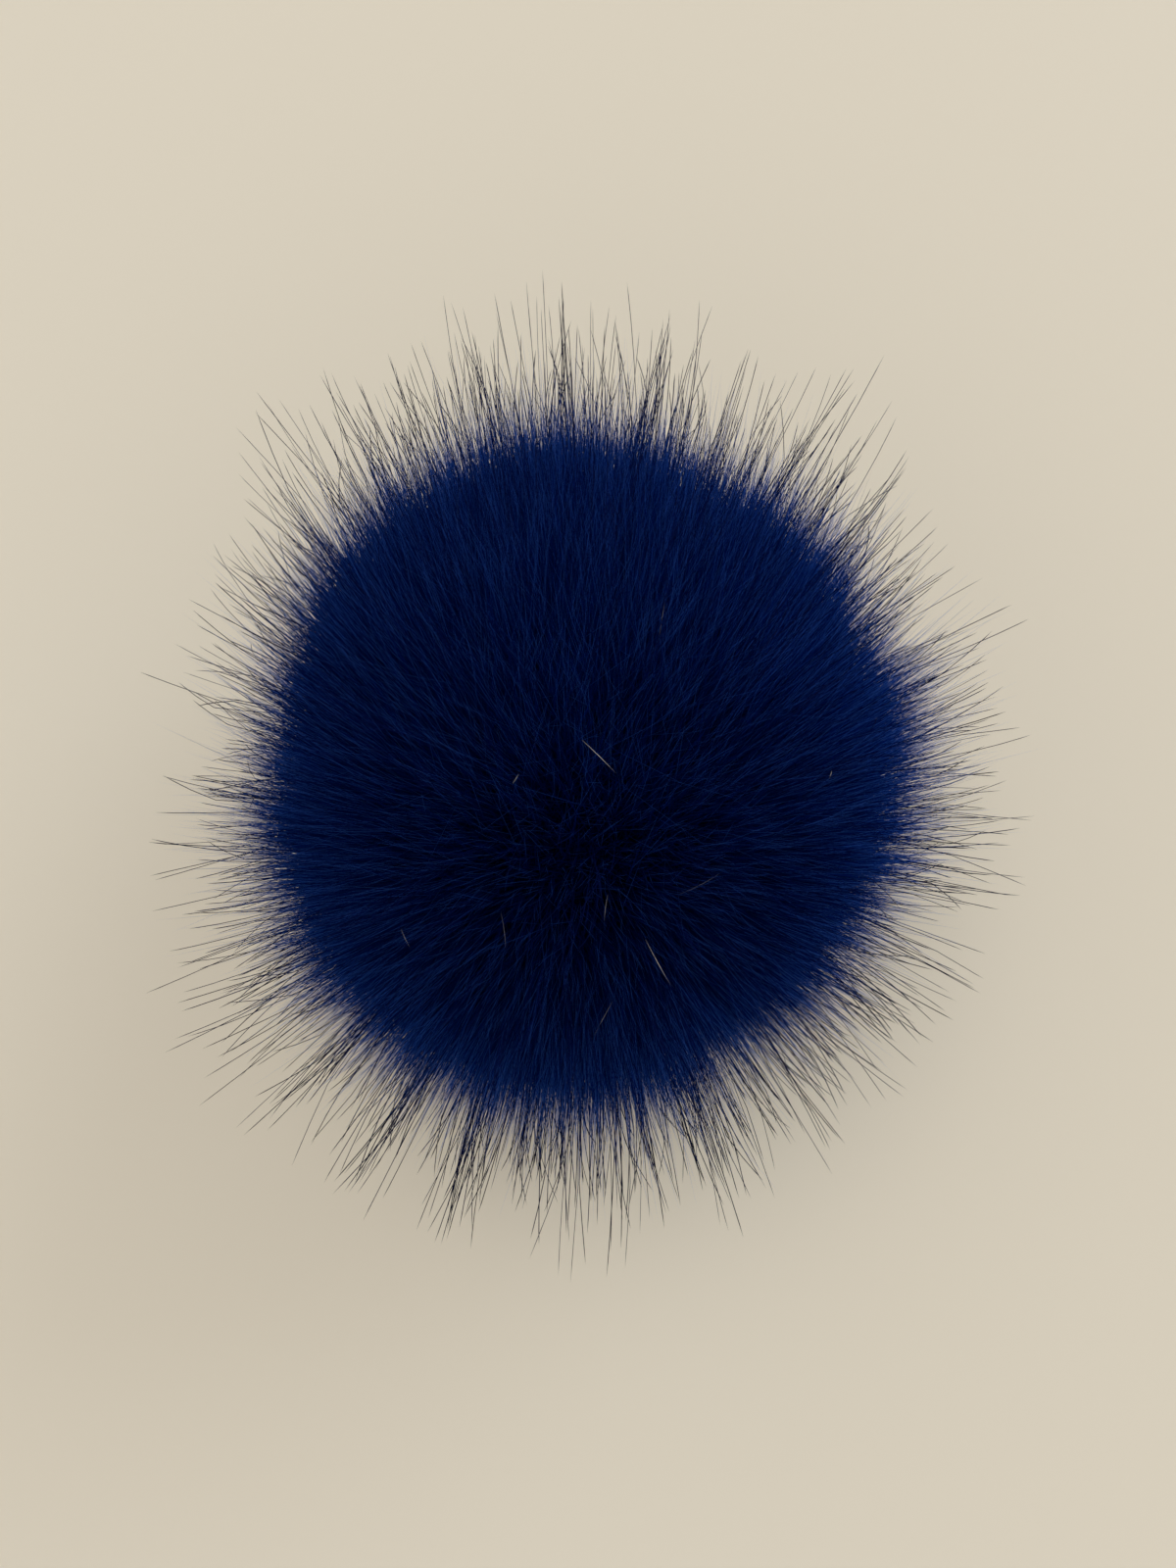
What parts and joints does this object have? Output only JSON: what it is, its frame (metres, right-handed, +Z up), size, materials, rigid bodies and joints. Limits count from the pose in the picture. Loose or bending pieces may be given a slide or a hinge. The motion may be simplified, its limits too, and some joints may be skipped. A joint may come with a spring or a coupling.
{
  "type": "faux fur pom pom",
  "caption": "Round, long-pile faux-fur pom pom with a dense underfur and wispy guard hair, flat underneath where it is sewn or snapped on.",
  "frame": {"origin": "on the surface that it rests on, at the middle of its footprint's box", "axes": "+Z up, away from the surface; +Y the way the nap of the pile leans; +X to the right of it"},
  "size_m": [0.138, 0.1368, 0.1045],
  "materials": {
    "fur_pile": "long acrylic pile: royal-blue underfur under near-black navy and brown-black guard hair"
  },
  "bodies": {
    "root": {"fur_ball": "fur_pile"}
  },
  "joints": []
}
